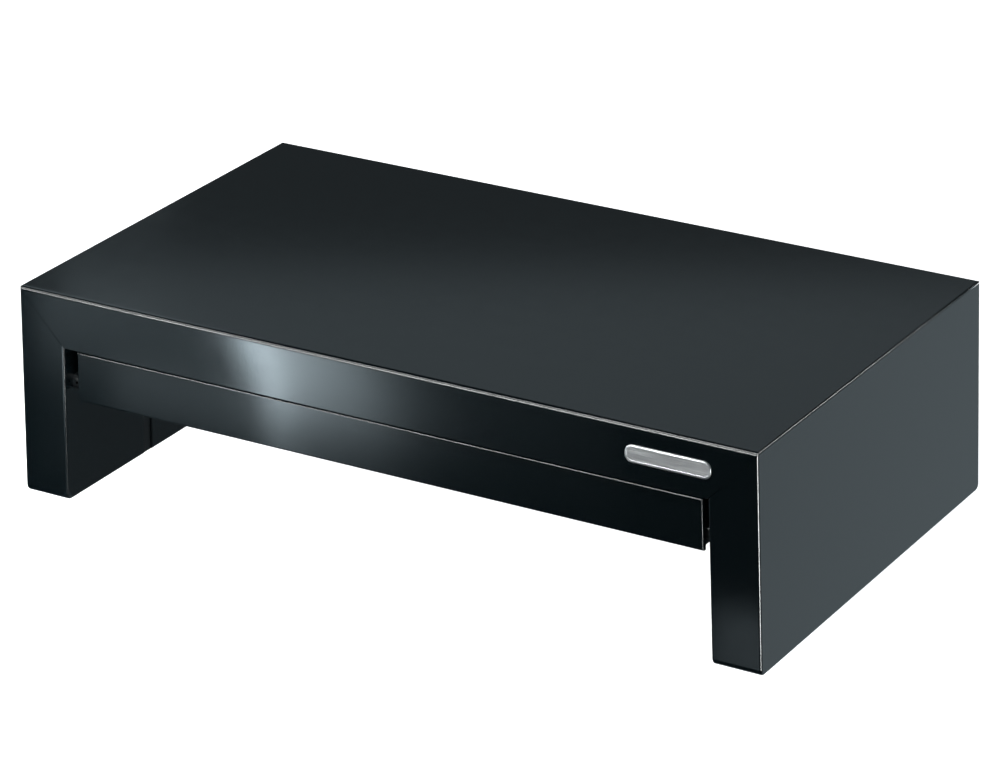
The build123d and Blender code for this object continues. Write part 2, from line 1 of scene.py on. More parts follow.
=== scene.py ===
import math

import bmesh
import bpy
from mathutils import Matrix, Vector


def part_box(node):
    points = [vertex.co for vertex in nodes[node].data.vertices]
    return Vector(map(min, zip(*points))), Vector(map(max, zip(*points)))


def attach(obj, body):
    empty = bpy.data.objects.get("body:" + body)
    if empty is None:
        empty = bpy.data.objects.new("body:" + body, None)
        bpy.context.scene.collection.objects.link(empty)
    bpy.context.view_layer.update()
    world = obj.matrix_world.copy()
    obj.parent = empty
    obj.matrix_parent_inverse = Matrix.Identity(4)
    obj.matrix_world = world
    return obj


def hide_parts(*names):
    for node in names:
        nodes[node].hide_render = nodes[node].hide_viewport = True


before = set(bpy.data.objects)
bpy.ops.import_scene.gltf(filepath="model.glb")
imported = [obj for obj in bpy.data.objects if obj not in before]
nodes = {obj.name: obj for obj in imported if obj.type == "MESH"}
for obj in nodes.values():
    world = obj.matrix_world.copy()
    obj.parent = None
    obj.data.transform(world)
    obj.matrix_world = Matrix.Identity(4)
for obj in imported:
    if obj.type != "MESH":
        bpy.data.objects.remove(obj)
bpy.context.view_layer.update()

# %% [markdown]
# # A monitor riser stand in black moulded plastic
# The design came in with the frame: a hollow deck, two leg casings, feet that slide out of
# them, rails and a drawer. Blender's work is the looks: the moulded plastic, the rubber, the
# plated screws and the small silver badge, and a light that shows them.

print("nodes that came in:", sorted(nodes))

# %% [markdown]
# ## The camera
# A product picture of a wide, low object is taken from far away with a long lens, so that its
# long edges stay almost parallel. The camera looks from the front right, a little from above,
# and leans over by less than a degree.

# %% Camera
TARGET = Vector((0.0, 0.0, 0.0598))
AZIMUTH = math.radians(31.04)
ELEVATION = math.radians(23.38)
ROLL = math.radians(-0.754)
DISTANCE = 2.0569
LENS_MM = 150.25
SENSOR_MM = 36.0


def camera_matrix():
    """Where the camera stands, and its turn: away from the target, up, then leaning."""
    back = Vector((
        math.sin(AZIMUTH) * math.cos(ELEVATION),
        -math.cos(AZIMUTH) * math.cos(ELEVATION),
        math.sin(ELEVATION),
    ))
    right = Vector((0, 0, 1)).cross(back).normalized()
    up = back.cross(right)
    turned_right = right * math.cos(ROLL) + up * math.sin(ROLL)
    turned_up = -right * math.sin(ROLL) + up * math.cos(ROLL)
    axes = Matrix((turned_right, turned_up, back)).transposed().to_4x4()
    return Matrix.Translation(TARGET + back * DISTANCE) @ axes


camera_data = bpy.data.cameras.new("camera")
camera_data.lens = LENS_MM
camera_data.sensor_width = SENSOR_MM
camera = bpy.data.objects.new("camera", camera_data)
bpy.context.scene.collection.objects.link(camera)
camera.matrix_world = camera_matrix()
bpy.context.scene.camera = camera
print("camera at", [round(v, 3) for v in camera.matrix_world.translation])

# %% [markdown]
# ## Materials
# Every finish here is built from noise in the piece's own coordinates, so its pattern stays with
# the piece when it moves. The plain values sit on the shader itself, and the noise only drives
# what really changes over the surface: colour, gloss and relief.

# %% A material with plain values
def new_material(name, colour, roughness, metallic=0.0, specular=0.5):
    """A principled material with its plain values set on the shader itself."""
    material = bpy.data.materials.new(name)
    material.use_nodes = True
    shader = material.node_tree.nodes["Principled BSDF"]
    shader.inputs["Base Color"].default_value = (*colour, 1.0)
    shader.inputs["Roughness"].default_value = roughness
    shader.inputs["Metallic"].default_value = metallic
    shader.inputs["Specular IOR Level"].default_value = specular
    return material, shader


# %% [markdown]
# Noise in a node tree comes out around one half and seldom reaches 0 or 1. So it is stretched
# before it is used, from the range that it really covers to the range that is wanted.

# %% Noise, and its range
NOISE_RANGE = (0.3, 0.7)


def own_place(tree):
    """The piece's own coordinates, from one node for the whole material."""
    place = tree.nodes.get("place") or tree.nodes.new("ShaderNodeTexCoord")
    place.name = "place"
    return place.outputs["Object"]


def noise(material, scale, detail=2.0, roughness=0.5):
    """Noise over the piece's own coordinates. scale is in features to the metre."""
    tree = material.node_tree
    texture = tree.nodes.new("ShaderNodeTexNoise")
    texture.inputs["Scale"].default_value = scale
    texture.inputs["Detail"].default_value = detail
    texture.inputs["Roughness"].default_value = roughness
    tree.links.new(own_place(tree), texture.inputs["Vector"])
    return texture.outputs["Fac"]


def spread(material, value, low, high):
    """A 0 to 1 value stretched between low and high."""
    tree = material.node_tree
    node = tree.nodes.new("ShaderNodeMapRange")
    node.inputs["From Min"].default_value = NOISE_RANGE[0]
    node.inputs["From Max"].default_value = NOISE_RANGE[1]
    node.inputs["To Min"].default_value = low
    node.inputs["To Max"].default_value = high
    tree.links.new(value, node.inputs["Value"])
    return node.outputs["Result"]


print("noise is stretched from", NOISE_RANGE)

# %% [markdown]
# Grain and brush lines are far too fine to model. A Bump node tilts the surface's normal instead,
# by a height that follows the noise, and the outline stays as it is.

# %% Relief
def add_bump(material, shader, height, strength, distance):
    """Relief on the shader, stacked on any relief that it has already."""
    tree = material.node_tree
    bump = tree.nodes.new("ShaderNodeBump")
    bump.inputs["Strength"].default_value = strength
    bump.inputs["Distance"].default_value = distance
    tree.links.new(height, bump.inputs["Height"])
    if shader.inputs["Normal"].is_linked:
        earlier = shader.inputs["Normal"].links[0].from_socket
        tree.links.new(earlier, bump.inputs["Normal"])
    tree.links.new(bump.outputs["Normal"], shader.inputs["Normal"])


# %% [markdown]
# The CAD nodes come in as meshes. Putting a finish on one means emptying its material slots and
# filling the first.

# %% Putting a material on a node
def dress(name, material):
    """Puts one material on a CAD node."""
    slots = nodes[name].data.materials
    slots.clear()
    slots.append(material)


# %% [markdown]
# ## Two black plastics
# The shells that show are moulded in a fine satin mould, and the parts inside in a coarser one.
# A flat black would look like paint. So the colour is worked out from two shades of near black,
# the gloss moves a little around its middle value, and fine relief gives the grain.

# %% Colour and gloss that follow a noise
def vary_colour(material, shader, value, shades):
    """Base colour that goes from the first shade to the second with a noise."""
    tree = material.node_tree
    mix = tree.nodes.new("ShaderNodeMix")
    mix.data_type = "RGBA"
    mix.inputs["A"].default_value = (*shades[0], 1.0)
    mix.inputs["B"].default_value = (*shades[1], 1.0)
    tree.links.new(spread(material, value, 0.0, 1.0), mix.inputs["Factor"])
    tree.links.new(mix.outputs["Result"], shader.inputs["Base Color"])


def vary_gloss(material, shader, value, smooth, dull):
    """Roughness that goes between two levels with a noise."""
    gloss = spread(material, value, smooth, dull)
    material.node_tree.links.new(gloss, shader.inputs["Roughness"])


# %% Black plastics
GRAIN_HEIGHT = 0.0002        # metres
CLOUD_SCALE = 90.0           # features to the metre
GLOSS_DRIFT = 0.012


def black_plastic(name, shades, gloss, grain_scale, grain):
    """Moulded black plastic. Grain is in features to the metre, gloss is its roughness."""
    material, shader = new_material(name, shades[0], gloss)
    fine = noise(material, grain_scale, 2.0)
    cloud = noise(material, CLOUD_SCALE, 3.0)
    vary_colour(material, shader, fine, shades)
    vary_gloss(material, shader, cloud, gloss - GLOSS_DRIFT, gloss + GLOSS_DRIFT)
    add_bump(material, shader, fine, grain, GRAIN_HEIGHT)
    print(name, "made, roughness about", gloss)
    return material


SHELL_SHADES = ((0.0006, 0.0012, 0.0015), (0.0014, 0.0026, 0.0032))
INNER_SHADES = ((0.0012, 0.0017, 0.0020), (0.0020, 0.0027, 0.0031))
shell_plastic = black_plastic(
    "black shell plastic", SHELL_SHADES, gloss=0.125, grain_scale=1600.0, grain=0.08
)
inner_plastic = black_plastic(
    "black inner plastic", INNER_SHADES, gloss=0.30, grain_scale=900.0, grain=0.05
)
for name in ("top_deck", "left_leg_casing", "right_leg_casing", "drawer_front"):
    dress(name, shell_plastic)
for name in ("drawer_tray", "left_rail", "right_rail", "left_foot", "right_foot"):
    dress(name, inner_plastic)

# %% [markdown]
# ## Rubber
# The feet stand on moulded rubber. Rubber is dull and slightly dusty, and a plain dark grey would
# look like the plastic beside it. So its colour and its roughness both move with one coarse noise,
# as dust does: where it is paler it is also duller.

# %% Pad rubber
RUBBER_SHADES = ((0.012, 0.012, 0.013), (0.030, 0.030, 0.029))
pad_rubber, shader = new_material("pad rubber", (0.02, 0.02, 0.02), 0.75)
dust = noise(pad_rubber, 300.0, detail=4.0, roughness=0.6)
vary_colour(pad_rubber, shader, dust, RUBBER_SHADES)
vary_gloss(pad_rubber, shader, dust, smooth=0.62, dull=0.85)
rubber_grain = noise(pad_rubber, 2500.0)
add_bump(pad_rubber, shader, rubber_grain, strength=0.35, distance=GRAIN_HEIGHT)
print("rubber made with", len(pad_rubber.node_tree.nodes), "nodes")

# %% [markdown]
# ## Plated steel
# The screws are zinc-plated, and the plating has a soft crystalline mottle. It could be painted
# on an unwrapped mesh, but noise does as well on a head a few millimetres wide, and no part of it
# repeats.

# %% Plated steel
PLATING_SHADES = ((0.44, 0.46, 0.49), (0.62, 0.62, 0.60))
PLATING_RELIEF = 0.0001
screw_steel, shader = new_material("plated screw steel", (0.55, 0.56, 0.57), 0.3, metallic=1.0)
mottle = noise(screw_steel, 900.0, detail=3.0)
vary_colour(screw_steel, shader, mottle, PLATING_SHADES)
vary_gloss(screw_steel, shader, mottle, smooth=0.24, dull=0.40)
crystals = noise(screw_steel, 3500.0)
add_bump(screw_steel, shader, crystals, strength=0.15, distance=PLATING_RELIEF)
print("plated steel made with", len(screw_steel.node_tree.nodes), "nodes")

# %% [markdown]
# ## Brushed silver
# The badge is brushed along its length. Noise that a Mapping node stretches along the bar gives
# the fine lines of the brush, and needs no unwrapped mesh, as a picture of brushed metal would.

# %% Stretched noise
def stretched_noise(material, stretch, detail=3.0):
    """Noise whose features to the metre differ along X, Y and Z."""
    tree = material.node_tree
    mapping = tree.nodes.new("ShaderNodeMapping")
    mapping.inputs["Scale"].default_value = stretch
    texture = tree.nodes.new("ShaderNodeTexNoise")
    texture.inputs["Scale"].default_value = 1.0
    texture.inputs["Detail"].default_value = detail
    tree.links.new(own_place(tree), mapping.inputs["Vector"])
    tree.links.new(mapping.outputs["Vector"], texture.inputs["Vector"])
    return texture.outputs["Fac"]


# %% Brushed silver
SILVER_SHADES = ((0.70, 0.71, 0.73), (0.88, 0.88, 0.88))
BRUSH_STRETCH = (60.0, 2500.0, 5000.0)
BRUSH_RELIEF = 0.00005
badge_silver, shader = new_material("badge silver", (0.8, 0.81, 0.82), 0.36, metallic=1.0)
brush = stretched_noise(badge_silver, BRUSH_STRETCH)
vary_colour(badge_silver, shader, brush, SILVER_SHADES)
vary_gloss(badge_silver, shader, brush, smooth=0.30, dull=0.44)
add_bump(badge_silver, shader, brush, strength=0.25, distance=BRUSH_RELIEF)
print("brushed silver made with", len(badge_silver.node_tree.nodes), "nodes")

# %% [markdown]
# ## Working in edit mode from a script
# In a window we would click on faces and edges. In a script we choose them by their place and
# by the way they face. These helpers open edit mode on a fresh primitive, pick its parts, and
# take the piece through the same steps as by hand.

# %% Opening a piece
X, Y, Z = 0, 1, 2
NEAR = 1e-6                  # metres, for telling that two places are the same
MOSTLY = 0.9                 # share of a normal along an axis, in faces that look that way
SQUARELY = 0.99              # and in faces that look exactly that way


def deselect_all():
    """Nothing stays selected, so that the next operator only meets its own piece."""
    for item in bpy.context.selected_objects:
        item.select_set(False)


def open_edit(piece, mode="FACE"):
    """Edit mode on one piece, with nothing picked."""
    deselect_all()
    piece.select_set(True)
    bpy.context.view_layer.objects.active = piece
    bpy.ops.object.mode_set(mode="EDIT")
    bpy.ops.mesh.select_mode(type=mode)
    bpy.ops.mesh.select_all(action="DESELECT")


def close_edit():
    """Back to object mode."""
    bpy.ops.object.mode_set(mode="OBJECT")


# %% Picking faces and edges
def pick_faces(test):
    """Picks the faces of the open piece whose middle and normal pass a test."""
    mesh = bpy.context.edit_object.data
    work = bmesh.from_edit_mesh(mesh)
    bpy.ops.mesh.select_all(action="DESELECT")
    chosen = [f for f in work.faces if test(f.calc_center_median(), f.normal)]
    for face in chosen:
        face.select_set(True)
    bmesh.update_edit_mesh(mesh)
    return len(chosen)


def pick_edges(test):
    """Picks the edges of the open piece whose two ends pass a test."""
    mesh = bpy.context.edit_object.data
    work = bmesh.from_edit_mesh(mesh)
    bpy.ops.mesh.select_all(action="DESELECT")
    chosen = [e for e in work.edges if test(e.verts[0].co, e.verts[1].co)]
    for edge in chosen:
        edge.select_set(True)
    bmesh.update_edit_mesh(mesh)
    return len(chosen)


# %% Placing and joining
def apply_place(piece):
    """Moves the piece's place, turn and size into its mesh."""
    deselect_all()
    piece.select_set(True)
    bpy.context.view_layer.objects.active = piece
    bpy.ops.object.transform_apply(location=True, rotation=True, scale=True)


def join(parts, name):
    """One piece from several, with its place in its mesh."""
    deselect_all()
    for part in parts:
        part.select_set(True)
    bpy.context.view_layer.objects.active = parts[0]
    bpy.ops.object.join()
    piece = bpy.context.object
    piece.name = name
    return piece


# %% [markdown]
# A finished piece gets its material, smooth shading that breaks at sharp edges and the body that
# it moves with, and the CAD node that it stands for is hidden.

# %% Finishing a piece
def finish_piece(piece, body, material, replaced, smooth_angle=35.0):
    """Finish, shading, body, slot and the CAD node that the piece stands for."""
    piece.data.materials.clear()
    piece.data.materials.append(material)
    deselect_all()
    piece.select_set(True)
    bpy.context.view_layer.objects.active = piece
    bpy.ops.object.shade_smooth_by_angle(angle=math.radians(smooth_angle))
    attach(piece, body)
    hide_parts(replaced)
    print(piece.name, "has", len(piece.data.polygons), "faces")


# %% [markdown]
# ## The badge
# On the fascia sits a small silver badge, pressed from thin metal. Ours is a blank plaque: a bar
# with round ends, a raised rim and a lower field that takes the brush lines. A cube is brought
# to size, its upright edges are rounded, and the front face is inset and pushed back. Two pins
# hold it through the fascia.

# %% Badge plaque
badge_low, badge_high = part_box("badge")
plaque_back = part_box("top_deck")[0][Y]
BADGE_CORNER = 0.0036
BADGE_RIM_EDGE = 0.0003
BADGE_RIM_WIDTH = 0.0007
BADGE_FIELD_DEPTH = 0.00028
BADGE_FIELD_SLOPE = 0.6      # width of the rim's inner slope, of the field's depth


def rounded_plate(name, low, high, axis, corner, corner_steps=8):
    """A box between two corners, with its four edges along one axis rounded."""
    size = [high[i] - low[i] for i in range(3)]
    middle = [(high[i] + low[i]) / 2 for i in range(3)]
    deselect_all()
    bpy.ops.mesh.primitive_cube_add(size=1.0, location=middle, scale=size)
    plate = bpy.context.object
    plate.name = name
    apply_place(plate)
    open_edit(plate, "EDGE")
    pick_edges(lambda a, b: abs(a[axis] - b[axis]) > 0.5 * size[axis])
    bpy.ops.mesh.bevel(offset=corner, offset_type="OFFSET", segments=corner_steps, affect="EDGES")
    close_edit()
    return plate


plaque_high = (badge_high[X], plaque_back, badge_high[Z])
plaque = rounded_plate("badge_plaque", badge_low, plaque_high, Y, BADGE_CORNER)
open_edit(plaque, "FACE")
front_faces = pick_faces(lambda middle, normal: normal.y < -MOSTLY)
bpy.ops.mesh.bevel(offset=BADGE_RIM_EDGE, offset_type="OFFSET", segments=3, affect="EDGES")
pick_faces(lambda middle, normal: normal.y < -SQUARELY and middle.y < badge_low[Y] + NEAR)
bpy.ops.mesh.inset(thickness=BADGE_RIM_WIDTH, depth=0.0)
field_slope = BADGE_FIELD_DEPTH * BADGE_FIELD_SLOPE
bpy.ops.mesh.inset(thickness=field_slope, depth=-BADGE_FIELD_DEPTH)
close_edit()
plaque_length = round(plaque.dimensions.x * 1000, 1)
print("plaque starts from", front_faces, "front face, and is", plaque_length, "mm long")

# %% [markdown]
# A pin passes through the fascia and is melted over behind it. It is a short cylinder whose end is
# drawn out, widened into a head and rounded.

# %% Badge pins
PIN_RADIUS = 0.0010
PIN_HEAD_RADIUS = 0.0017
PIN_HEAD_HEIGHT = 0.0009
PIN_HEAD_EDGE = 0.0004
PIN_FLARE = 0.00002          # height over which the pin widens into its head
PIN_SPREAD = 0.015
PIN_INSIDE_PLAQUE = 0.0003
badge_middle_x = (badge_low[X] + badge_high[X]) / 2
badge_middle_z = (badge_low[Z] + badge_high[Z]) / 2


def badge_pin(x):
    """A pin with a melted head behind the fascia, drawn out from a short cylinder."""
    start = plaque_back - PIN_INSIDE_PLAQUE
    stop = badge_high[Y] - PIN_HEAD_HEIGHT
    deselect_all()
    bpy.ops.mesh.primitive_cylinder_add(
        vertices=24,
        radius=PIN_RADIUS,
        depth=stop - start,
        location=(x, (start + stop) / 2, badge_middle_z),
        rotation=(math.radians(90), 0, 0),
    )
    pin = bpy.context.object
    apply_place(pin)
    open_edit(pin, "FACE")
    pick_faces(lambda middle, normal: normal.y > MOSTLY)
    grow = PIN_HEAD_RADIUS / PIN_RADIUS
    bpy.ops.mesh.extrude_region_move(TRANSFORM_OT_translate={"value": (0, PIN_FLARE, 0)})
    bpy.ops.transform.resize(value=(grow, 1, grow), center_override=(x, stop, badge_middle_z))
    rest_of_head = (0, PIN_HEAD_HEIGHT - PIN_FLARE, 0)
    bpy.ops.mesh.extrude_region_move(TRANSFORM_OT_translate={"value": rest_of_head})
    bpy.ops.mesh.bevel(offset=PIN_HEAD_EDGE, offset_type="OFFSET", segments=3, affect="EDGES")
    close_edit()
    return pin


pins = [badge_pin(badge_middle_x - PIN_SPREAD), badge_pin(badge_middle_x + PIN_SPREAD)]
badge_bar = join([plaque] + pins, "badge_bar")
finish_piece(badge_bar, "stand", badge_silver, "badge")

# %% [markdown]
# ## The screws
# Three sizes of plated pan-head screws hold the stand together. One screw is modelled along Z and
# copied to its places. Its head is a low cylinder with a rounded rim, and a cross is cut into it
# by a Boolean modifier: a real recess catches the light on its walls, as a painted one can't.

# %% Cross recess
CROSS_ARM = 1.15             # length of a recess arm, in head radii
CROSS_WIDTH = 0.26           # and its width
CROSS_DEPTH = 0.55           # of the head's height
CROSS_TAPER = 0.6            # width of an arm at its bottom, of its width at the top


def cut_recess(head, radius, height, turn):
    """Cuts one arm of the cross recess, turned by some degrees, into a head."""
    deselect_all()
    bpy.ops.mesh.primitive_cube_add(
        size=1.0,
        location=(0, 0, -height),
        rotation=(0, 0, math.radians(turn)),
        scale=(radius * CROSS_ARM, radius * CROSS_WIDTH, height * CROSS_DEPTH * 2),
    )
    arm = bpy.context.object
    apply_place(arm)
    open_edit(arm, "FACE")
    pick_faces(lambda middle, normal: normal.z > MOSTLY)
    bpy.ops.transform.resize(value=(CROSS_TAPER, CROSS_TAPER, 1), center_override=(0, 0, 0))
    close_edit()
    deselect_all()
    head.select_set(True)
    bpy.context.view_layer.objects.active = head
    cut = head.modifiers.new("cross recess", "BOOLEAN")
    cut.operation = "DIFFERENCE"
    cut.object = arm
    bpy.ops.object.modifier_apply(modifier=cut.name)
    bpy.data.objects.remove(arm)


# %% Screw head
HEAD_ROUNDING = 0.45         # of the head's height


def screw_head(radius, height):
    """Pan head from z = -height to 0, its top towards -Z, with a cross recess."""
    deselect_all()
    bpy.ops.mesh.primitive_cylinder_add(
        vertices=48, radius=radius, depth=height, location=(0, 0, -height / 2)
    )
    head = bpy.context.object
    apply_place(head)
    open_edit(head, "FACE")
    pick_faces(lambda middle, normal: normal.z < -MOSTLY)
    rounding = height * HEAD_ROUNDING
    bpy.ops.mesh.bevel(offset=rounding, offset_type="OFFSET", segments=5, affect="EDGES")
    close_edit()
    for turn in (0.0, 90.0):
        cut_recess(head, radius, height, turn)
    return head


# %% [markdown]
# The shank is the core that the thread stands on. Its end is drawn out and narrowed into a blunt
# point, which finds the boss when the screw is driven.

# %% Screw shank
THREAD_DEPTH = 0.24          # of the shank's radius
POINT_LENGTH = 0.9           # in shank radii
POINT_WIDTH = 0.45           # of the core's width
SHANK_INSIDE_HEAD = 0.0004


def screw_shank(radius, length):
    """Core of the shank from just inside the head, ending in a blunt cone."""
    core = radius * (1 - THREAD_DEPTH)
    point = radius * POINT_LENGTH
    straight = length - point
    deselect_all()
    bpy.ops.mesh.primitive_cylinder_add(
        vertices=32,
        radius=core,
        depth=straight + SHANK_INSIDE_HEAD,
        location=(0, 0, (straight - SHANK_INSIDE_HEAD) / 2),
    )
    shank = bpy.context.object
    apply_place(shank)
    open_edit(shank, "FACE")
    pick_faces(lambda middle, normal: normal.z > MOSTLY)
    bpy.ops.mesh.extrude_region_move(TRANSFORM_OT_translate={"value": (0, 0, point)})
    narrower = (POINT_WIDTH, POINT_WIDTH, 1)
    bpy.ops.transform.resize(value=narrower, center_override=(0, 0, length))
    close_edit()
    return shank


# %% [markdown]
# The thread is one triangle wound around the core by a Screw modifier, which is quicker and more
# even than turning it by hand. Its two open ends are then filled, so that the mesh is closed.
# Head, shank and thread are joined into one screw.

# %% Screw thread
THREAD_TURN_STEPS = 20
THREAD_RING = 1.25           # radius of the triangle, in thread depths


def screw_thread(radius, length, pitch):
    """A triangle wound around the core by a Screw modifier, closed at both ends."""
    ring = radius * THREAD_DEPTH * THREAD_RING
    turns = int((length - radius * POINT_LENGTH - 2 * pitch) / pitch)
    deselect_all()
    bpy.ops.mesh.primitive_circle_add(
        vertices=3,
        radius=ring,
        fill_type="NOTHING",
        location=(radius - ring, 0, pitch),
        rotation=(math.radians(90), math.radians(90), 0),
    )
    thread = bpy.context.object
    apply_place(thread)
    wind = thread.modifiers.new("thread", "SCREW")
    wind.axis = "Z"
    wind.screw_offset = pitch
    wind.iterations = turns
    wind.steps = THREAD_TURN_STEPS
    wind.render_steps = THREAD_TURN_STEPS
    bpy.ops.object.modifier_apply(modifier=wind.name)
    open_edit(thread, "EDGE")
    bpy.ops.mesh.select_non_manifold()
    bpy.ops.mesh.fill_holes(sides=0)
    bpy.ops.mesh.select_all(action="SELECT")
    bpy.ops.mesh.normals_make_consistent(inside=False)
    close_edit()
    return thread


# %% One whole screw
def make_screw(name, head_radius, head_height, shank_radius, length, pitch):
    """Pan-head screw along +Z, with its head's seat at z = 0."""
    parts = [
        screw_head(head_radius, head_height),
        screw_shank(shank_radius, length),
        screw_thread(shank_radius, length, pitch),
    ]
    return join(parts, name)


# %% [markdown]
# Each CAD node of screws is a row of equal ones. The row's box gives the first and last place and
# how long the screws are, and the way that they point is given with the row.

# %% Copies of the screws
TO_DECK = Matrix.Identity(3)
TO_RIGHT = Matrix.Rotation(math.radians(90), 3, "Y")
TO_LEFT = Matrix.Rotation(math.radians(-90), 3, "Y")
TO_FRONT = Matrix.Rotation(math.radians(90), 3, "X")
SCREW_SIZES = {              # head radius, head height, shank radius, pitch
    "leg": (0.0032, 0.0020, 0.0017, 0.0009),
    "rail": (0.0027, 0.0018, 0.00145, 0.0008),
    "front": (0.0034, 0.0016, 0.0013, 0.0007),
}


def screw_row(node, body, size_name, turn, row_axis, count):
    """A row of equal screws that fills the box of its CAD node."""
    head_radius, head_height, shank_radius, pitch = SCREW_SIZES[size_name]
    low, high = (Vector(corner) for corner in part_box(node))
    middle = (low + high) / 2
    along = turn @ Vector((0, 0, 1))
    reach = abs(along.dot(high - low))
    seat = middle - along * (reach / 2 - head_height)
    first = low[row_axis] + head_radius
    last = high[row_axis] - head_radius
    length = reach - head_height
    model = make_screw("screw_model", head_radius, head_height, shank_radius, length, pitch)
    copies = []
    for k in range(count):
        one = bpy.data.objects.new("screw", model.data.copy())
        bpy.context.scene.collection.objects.link(one)
        place = seat.copy()
        place[row_axis] = first + (last - first) * k / (count - 1)
        one.data.transform(Matrix.Translation(place) @ turn.to_4x4())
        copies.append(one)
    bpy.data.objects.remove(model)
    piece = join(copies, node + "_plated")
    finish_piece(piece, body, screw_steel, node)


for side in ("left", "right"):
    screw_row(side + "_leg_screws", "stand", "leg", TO_DECK, Y, 4)
screw_row("right_rail_screws", "stand", "rail", TO_RIGHT, Y, 3)
screw_row("left_rail_screws", "stand", "rail", TO_LEFT, Y, 3)
screw_row("drawer_front_screws", "drawer", "front", TO_FRONT, X, 4)

# %% [markdown]
# ## The rubber pads
# Each foot stands on two rubber pads. A pad is a rounded plate with a softened lower rim and a
# tread: inside a narrow border the sole is cut into strips, and every second strip is pushed up
# into the rubber. The strips come from bisecting the inset face, which keeps the border whole.

# %% Pads
PAD_CORNER = 0.0030
PAD_EDGE = 0.0004
PAD_BORDER = 0.0011
TREAD_STRIPS = 13
TREAD_DEPTH = 0.0005
GROOVE_SLOPE = 0.00012


def tread_pad(node, body):
    """Pad with its tread, in the box of its CAD node."""
    low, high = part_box(node)
    pad = rounded_plate(node + "_tread", low, high, Z, PAD_CORNER, 6)
    open_edit(pad, "FACE")
    pick_faces(lambda middle, normal: normal.z < -MOSTLY)
    bpy.ops.mesh.bevel(offset=PAD_EDGE, offset_type="OFFSET", segments=2, affect="EDGES")
    pick_faces(lambda middle, normal: normal.z < -SQUARELY)
    bpy.ops.mesh.inset(thickness=PAD_BORDER, depth=0.0)
    start = low[Y] + PAD_EDGE + PAD_BORDER
    strip = (high[Y] - low[Y] - 2 * (PAD_EDGE + PAD_BORDER)) / TREAD_STRIPS
    border = PAD_EDGE + PAD_BORDER / 2

    def on_sole(middle, normal):
        inside_x = low[X] + border < middle.x < high[X] - border
        inside_y = low[Y] + border < middle.y < high[Y] - border
        outermost = normal.z < -SQUARELY and middle.z < low[Z] + NEAR
        return outermost and inside_x and inside_y

    for k in range(1, TREAD_STRIPS):
        pick_faces(on_sole)
        bpy.ops.mesh.bisect(plane_co=(0, start + k * strip, 0), plane_no=(0, 1, 0))

    def odd_strip(middle, normal):
        number = int((middle.y - start) / strip)
        return on_sole(middle, normal) and number % 2 == 1

    cut_strips = pick_faces(odd_strip)
    bpy.ops.mesh.inset(thickness=GROOVE_SLOPE, depth=-TREAD_DEPTH)
    close_edit()
    print(node, "has", cut_strips, "grooves")
    finish_piece(pad, body, pad_rubber, node)


for side in ("left", "right"):
    for end in ("front", "rear"):
        tread_pad(side + "_" + end + "_pad", side + "_riser")

# %% [markdown]
# ## The floor
# A piece in a catalogue stands on a plain sweep of paper that is lit until it is white. A plane
# with paint that glows a little does the same, and stays even however the softboxes stand. Black
# plastic works as a mirror, so what it reflects is set by cards and softboxes alone, and the
# floor itself is kept out of the reflections.
# It lies as far down as the feet slide out, so that it hides none of their travel.

# %% Floor
FLOOR_Z = -0.0415
FLOOR_SIZE = 60.0
deselect_all()
bpy.ops.mesh.primitive_plane_add(size=FLOOR_SIZE, location=(0, 0, FLOOR_Z))
floor = bpy.context.object
floor.name = "studio_floor"
floor_paint, shader = new_material("pale floor", (0.9, 0.9, 0.9), 0.9, specular=0.1)
shader.inputs["Emission Color"].default_value = (1.0, 1.0, 1.0, 1.0)
shader.inputs["Emission Strength"].default_value = 1.0
floor.data.materials.append(floor_paint)
floor.visible_glossy = False
floor.visible_shadow = False
print("floor is", floor.dimensions.x, "m wide")

# %% [markdown]
# A plane hides what is above it from a camera underneath. The floor's own material can be made
# clear on its lower side, so that the underside can be looked at, and nothing has to be hidden.

# %% A floor that is clear from below
tree = floor_paint.node_tree
facing = tree.nodes.new("ShaderNodeNewGeometry")
clear = tree.nodes.new("ShaderNodeBsdfTransparent")
either = tree.nodes.new("ShaderNodeMixShader")
tree.links.new(facing.outputs["Backfacing"], either.inputs["Fac"])
tree.links.new(shader.outputs["BSDF"], either.inputs[1])
tree.links.new(clear.outputs["BSDF"], either.inputs[2])
tree.links.new(either.outputs["Shader"], tree.nodes["Material Output"].inputs["Surface"])
print("floor material has", len(tree.nodes), "nodes")

# %% [markdown]
# Under the stand the floor is in shade, and the legs' inner walls mirror that shade. A dim card
# that only reflections can see stands for it.

# %% Shade card under the stand
COOL_LIGHT = (0.76, 0.92, 1.0)
SHADE_SIZE = (0.40, 0.22)
SHADE_HEIGHT = 0.0002
SHADE_LEVEL = 0.13
deselect_all()
bpy.ops.mesh.primitive_plane_add(size=1.0, location=(0, 0, SHADE_HEIGHT))
shade_card = bpy.context.object
shade_card.name = "shade_card"
shade_card.scale = (*SHADE_SIZE, 1.0)
shade_paint, shader = new_material("black card", (0.0, 0.0, 0.0), 1.0, specular=0.0)
shader.inputs["Emission Color"].default_value = (*COOL_LIGHT, 1.0)
shader.inputs["Emission Strength"].default_value = SHADE_LEVEL
shade_card.data.materials.append(shade_paint)
shade_card.visible_camera = False
shade_card.visible_shadow = False
shade_card.visible_diffuse = False
print("shade card glows at", SHADE_LEVEL)

# %% [markdown]
# ## The room
# Behind the stand and near the floor the room is bright, which gives the right-hand leg its even
# grey. In front and overhead it stays dark, so the fascia reads as black. The room's level is
# worked out from the direction that a ray travels in.

